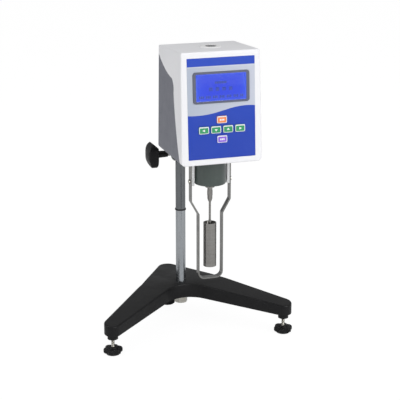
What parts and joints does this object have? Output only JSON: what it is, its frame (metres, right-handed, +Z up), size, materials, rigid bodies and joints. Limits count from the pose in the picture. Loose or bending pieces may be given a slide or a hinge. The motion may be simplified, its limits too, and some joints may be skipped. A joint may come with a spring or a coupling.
{
  "type": "rotational viscometer on a rack stand",
  "caption": "Bench viscometer: a measuring head with display and keys on a rack column over a three-footed base, with a spindle inside its guard.",
  "frame": {"origin": "middle of the outline on the bench, under the rubber feet", "axes": "+Z up along the column, -Y towards the display, +X to the right of someone facing the display"},
  "size_m": [0.2984, 0.2869, 0.4595],
  "materials": {
    "base_paint": "satin black paint on cast iron",
    "column_steel": "polished",
    "bright_steel": "brushed",
    "blackened_steel": "blackened",
    "nickel": "nickel plate",
    "bronze": "machined",
    "brass": "machined",
    "grey_casting": "green-grey paint on aluminium",
    "plain_aluminium": "milled",
    "black_plastic": "moulded",
    "white_plastic": "moulded",
    "grey_plastic": "fine texture",
    "panel_film": "printed film",
    "bezel_plastic": "gloss",
    "screen_glass": "clear",
    "screen_light": "backlit",
    "circuit_board": "lacquered",
    "key_orange": "soft key",
    "key_green": "soft key",
    "key_purple": "soft key",
    "foot_rubber": "moulded",
    "level_glass": "clear",
    "level_liquid": "clear"
  },
  "bodies": {
    "base": {"base_casting": "base_paint", "column_lower": "column_steel", "column_ring": "blackened_steel", "column_upper": "column_steel", "column_cap": "black_plastic", "column_nut": "nickel"},
    "carriage": {"carriage_arm": "grey_casting", "guide_bushes": "bronze", "tension_screw": "blackened_steel", "spindle_cup": "grey_casting", "guard_ears": "bright_steel", "spindle_guard": "bright_steel", "guard_screws": "nickel", "pivot_plate": "plain_aluminium", "shaft_bearings": "brass", "floor_plate": "plain_aluminium", "floor_posts": "brass", "upper_plate": "plain_aluminium", "drive_motor": "nickel", "sensor_forks": "black_plastic", "sensor_brackets": "plain_aluminium", "main_board": "circuit_board", "front_cover": "white_plastic", "rear_cover": "grey_plastic", "front_panel": "panel_film", "lcd_bezel": "bezel_plastic", "lcd_window": "screen_glass", "lcd_module": "screen_light", "key_board": "circuit_board", "cover_screws": "nickel", "level_ring": "white_plastic", "level_glass": "level_glass", "level_liquid": "level_liquid", "switch_frame": "black_plastic", "power_inlet": "black_plastic", "data_port": "nickel"},
    "lift_drive": {"pinion_shaft": "bright_steel", "shaft_collar": "blackened_steel", "lift_knob": "black_plastic"},
    "motor_shaft": {"motor_pinion": "brass"},
    "drive": {"drive_gear": "brass", "drive_disc": "plain_aluminium"},
    "measuring_shaft": {"main_shaft": "bright_steel", "shaft_disc": "plain_aluminium", "hairspring": "blackened_steel", "spindle_coupling": "bright_steel", "spindle": "bright_steel"},
    "rocker": {"power_rocker": "black_plastic"},
    "run_key": {"key_run": "key_orange"},
    "left_key": {"key_left": "key_green"},
    "down_key": {"key_down": "key_green"},
    "up_key": {"key_up": "key_green"},
    "right_key": {"key_right": "key_green"},
    "back_key": {"key_back": "key_purple"},
    "foot_left": {"foot_pad_left": "foot_rubber"},
    "foot_right": {"foot_pad_right": "foot_rubber"},
    "foot_rear": {"foot_pad_rear": "foot_rubber"},
    "knob_left": {"foot_knob_left": "black_plastic"},
    "knob_right": {"foot_knob_right": "black_plastic"},
    "knob_rear": {"foot_knob_rear": "black_plastic"}
  },
  "joints": [
    {"name": "head_lift", "type": "slide", "parent": "base", "child": "carriage", "axis": [0, 0, 1], "range_m": [-0.075, 0.075]},
    {"name": "lift_turn", "type": "hinge", "parent": "carriage", "child": "lift_drive", "pos_m": [0, 0.0659, 0.269], "axis": [1, 0, 0], "range_deg": [-540, 540]},
    {"name": "motor_spin", "type": "hinge", "parent": "carriage", "child": "motor_shaft", "pos_m": [0, -0.0669, 0.39], "axis": [0, 0, 1], "continuous": true},
    {"name": "drive_spin", "type": "hinge", "parent": "carriage", "child": "drive", "pos_m": [0, -0.0893, 0.39], "axis": [0, 0, 1], "continuous": true},
    {"name": "spring_wind", "type": "hinge", "parent": "drive", "child": "measuring_shaft", "pos_m": [0, -0.0893, 0.25], "axis": [0, 0, -1], "range_deg": [0, 90], "stiffness_Nm_per_rad": 0.0004},
    {"name": "power_rock", "type": "hinge", "parent": "carriage", "child": "rocker", "pos_m": [-0.032, -0.0315, 0.338], "axis": [1, 0, 0], "range_deg": [-8, 8]},
    {"name": "run_press", "type": "slide", "parent": "carriage", "child": "run_key", "axis": [0, 0.998, -0.0628], "range_m": [0, 0.0005], "stiffness_N_per_m": 2000},
    {"name": "left_press", "type": "slide", "parent": "carriage", "child": "left_key", "axis": [0, 0.998, -0.0628], "range_m": [0, 0.0005], "stiffness_N_per_m": 2000},
    {"name": "down_press", "type": "slide", "parent": "carriage", "child": "down_key", "axis": [0, 0.998, -0.0628], "range_m": [0, 0.0005], "stiffness_N_per_m": 2000},
    {"name": "up_press", "type": "slide", "parent": "carriage", "child": "up_key", "axis": [0, 0.998, -0.0628], "range_m": [0, 0.0005], "stiffness_N_per_m": 2000},
    {"name": "right_press", "type": "slide", "parent": "carriage", "child": "right_key", "axis": [0, 0.998, -0.0628], "range_m": [0, 0.0005], "stiffness_N_per_m": 2000},
    {"name": "back_press", "type": "slide", "parent": "carriage", "child": "back_key", "axis": [0, 0.998, -0.0628], "range_m": [0, 0.0005], "stiffness_N_per_m": 2000},
    {"name": "left_level", "type": "slide", "parent": "base", "child": "foot_left", "axis": [0, 0, 1], "range_m": [-0.006, 0.012]},
    {"name": "right_level", "type": "slide", "parent": "base", "child": "foot_right", "axis": [0, 0, 1], "range_m": [-0.006, 0.012]},
    {"name": "rear_level", "type": "slide", "parent": "base", "child": "foot_rear", "axis": [0, 0, 1], "range_m": [-0.006, 0.012]},
    {"name": "left_knob_turn", "type": "hinge", "parent": "foot_left", "child": "knob_left", "pos_m": [-0.1348, -0.0427, 0.006], "axis": [0, 0, 1], "range_deg": [-5400, 5400]},
    {"name": "right_knob_turn", "type": "hinge", "parent": "foot_right", "child": "knob_right", "pos_m": [0.1348, -0.0427, 0.006], "axis": [0, 0, 1], "range_deg": [-5400, 5400]},
    {"name": "rear_knob_turn", "type": "hinge", "parent": "foot_rear", "child": "knob_rear", "pos_m": [0, 0.1285, 0.006], "axis": [0, 0, 1], "range_deg": [-5400, 5400]}
  ],
  "couplings": [
    {"joint": "lift_turn", "follows": "head_lift", "rad_per_m": 125},
    {"joint": "motor_spin", "follows": "drive_spin", "ratio": -3.6667},
    {"joint": "left_knob_turn", "follows": "left_level", "rad_per_m": 7854},
    {"joint": "right_knob_turn", "follows": "right_level", "rad_per_m": 7854},
    {"joint": "rear_knob_turn", "follows": "rear_level", "rad_per_m": 7854}
  ]
}
